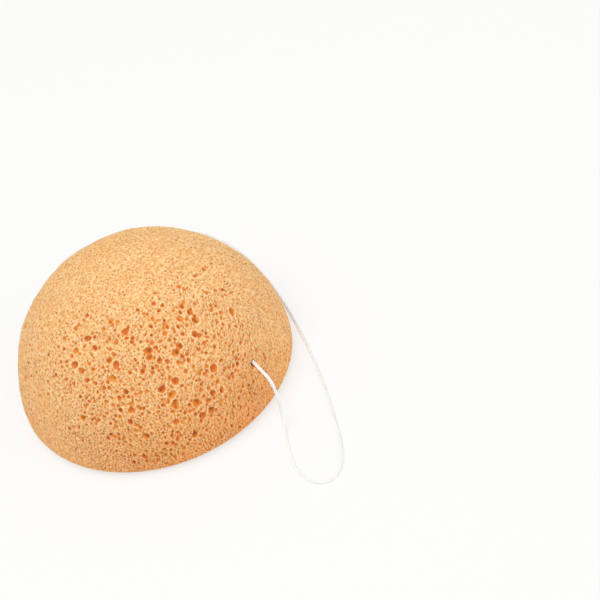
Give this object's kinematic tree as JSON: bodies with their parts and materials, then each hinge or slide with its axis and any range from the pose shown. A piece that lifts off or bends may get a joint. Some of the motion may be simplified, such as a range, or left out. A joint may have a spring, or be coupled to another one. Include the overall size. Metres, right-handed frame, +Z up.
{
  "type": "konjac sponge",
  "caption": "Half-ball facial cleansing sponge of porous plant-fibre foam with a flat face, threaded on a thin cotton hanging loop.",
  "frame": {"origin": "centre of the flat face, which lies on the surface the sponge stands on", "axes": "+Z up through the top of the dome; the cord's tunnel runs along Y, on the +X side"},
  "size_m": [0.0837, 0.1264, 0.0425],
  "materials": {
    "konjac_foam": "matte",
    "cotton_cord": "matte"
  },
  "bodies": {
    "sponge": {"sponge_body": "konjac_foam"},
    "cord": {"cord_inner_run": "cotton_cord", "cord_loop": "cotton_cord", "cord_knot": "cotton_cord", "cord_short_end": "cotton_cord", "cord_long_end": "cotton_cord"}
  },
  "joints": [
    {"name": "loop_swing", "type": "hinge", "parent": "sponge", "child": "cord", "pos_m": [0.017, 0, 0.0155], "axis": [0, -1, 0], "range_deg": [0, 110]}
  ]
}
